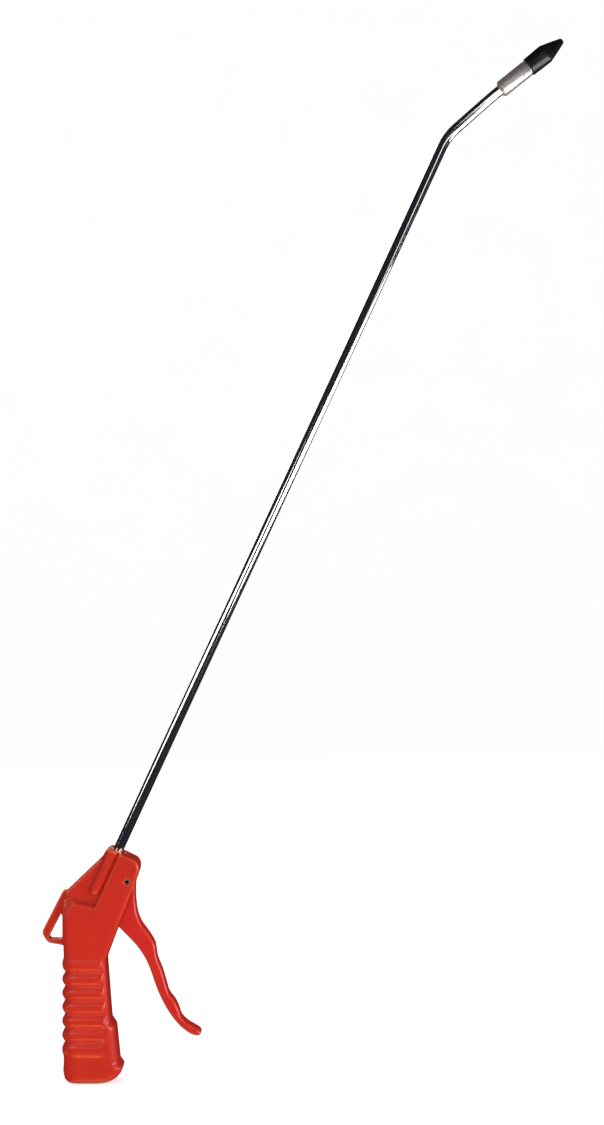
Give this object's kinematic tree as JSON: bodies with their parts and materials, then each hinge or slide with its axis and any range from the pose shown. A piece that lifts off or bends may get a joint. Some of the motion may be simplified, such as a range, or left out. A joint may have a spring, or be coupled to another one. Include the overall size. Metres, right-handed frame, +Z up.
{
  "type": "lever blow gun",
  "caption": "Compressed-air blow gun with a ribbed pistol grip, a hanging loop, a scalloped finger lever and a long bent tube ending in a soft rubber cone.",
  "frame": {"origin": "centre of the air inlet's end face, under the grip", "axes": "+Z up the grip, +X forwards from the grip to the lever, XZ the plane of symmetry"},
  "size_m": [0.3228, 0.0272, 0.645],
  "materials": {
    "red_plastic": "satin moulded nylon",
    "lever_plastic": "satin moulded nylon",
    "polished_chrome": "polished",
    "bright_nickel": "nickel plated, fine turned",
    "black_rubber": "moulded, satin",
    "turned_brass": "turned",
    "plain_steel": "plain",
    "seal_rubber": "matte",
    "white_acetal": "turned"
  },
  "bodies": {
    "handle": {"body": "red_plastic", "inlet_bushing": "turned_brass", "inlet_o_ring": "seal_rubber", "valve_cartridge": "turned_brass", "cartridge_front_o_ring": "seal_rubber", "cartridge_rear_o_ring": "seal_rubber", "stem_guide": "white_acetal", "stem_o_ring": "seal_rubber", "valve_spring": "plain_steel", "lever_pin": "plain_steel", "tube_ferrule": "turned_brass", "tube_o_ring": "seal_rubber", "extension_tube": "polished_chrome", "tip_adapter": "bright_nickel", "rubber_tip": "black_rubber"},
    "lever": {"lever": "lever_plastic"},
    "stem": {"valve_stem": "plain_steel", "poppet_seal": "seal_rubber", "valve_poppet": "turned_brass", "poppet_nut": "turned_brass"}
  },
  "joints": [
    {"name": "lever_hinge", "type": "hinge", "parent": "handle", "child": "lever", "pos_m": [0.0227, 0, 0.1238], "axis": [0, 1, 0], "range_deg": [0, 7], "stiffness_Nm_per_rad": 0.73, "springref_deg": -13.75},
    {"name": "stem_slide", "type": "slide", "parent": "handle", "child": "stem", "axis": [-0.9361, 0, 0.3518], "range_m": [0, 0.0027], "deforming": ["valve_spring"]}
  ],
  "couplings": [
    {"joint": "stem_slide", "follows": "lever_hinge", "m_per_rad": 0.022}
  ]
}
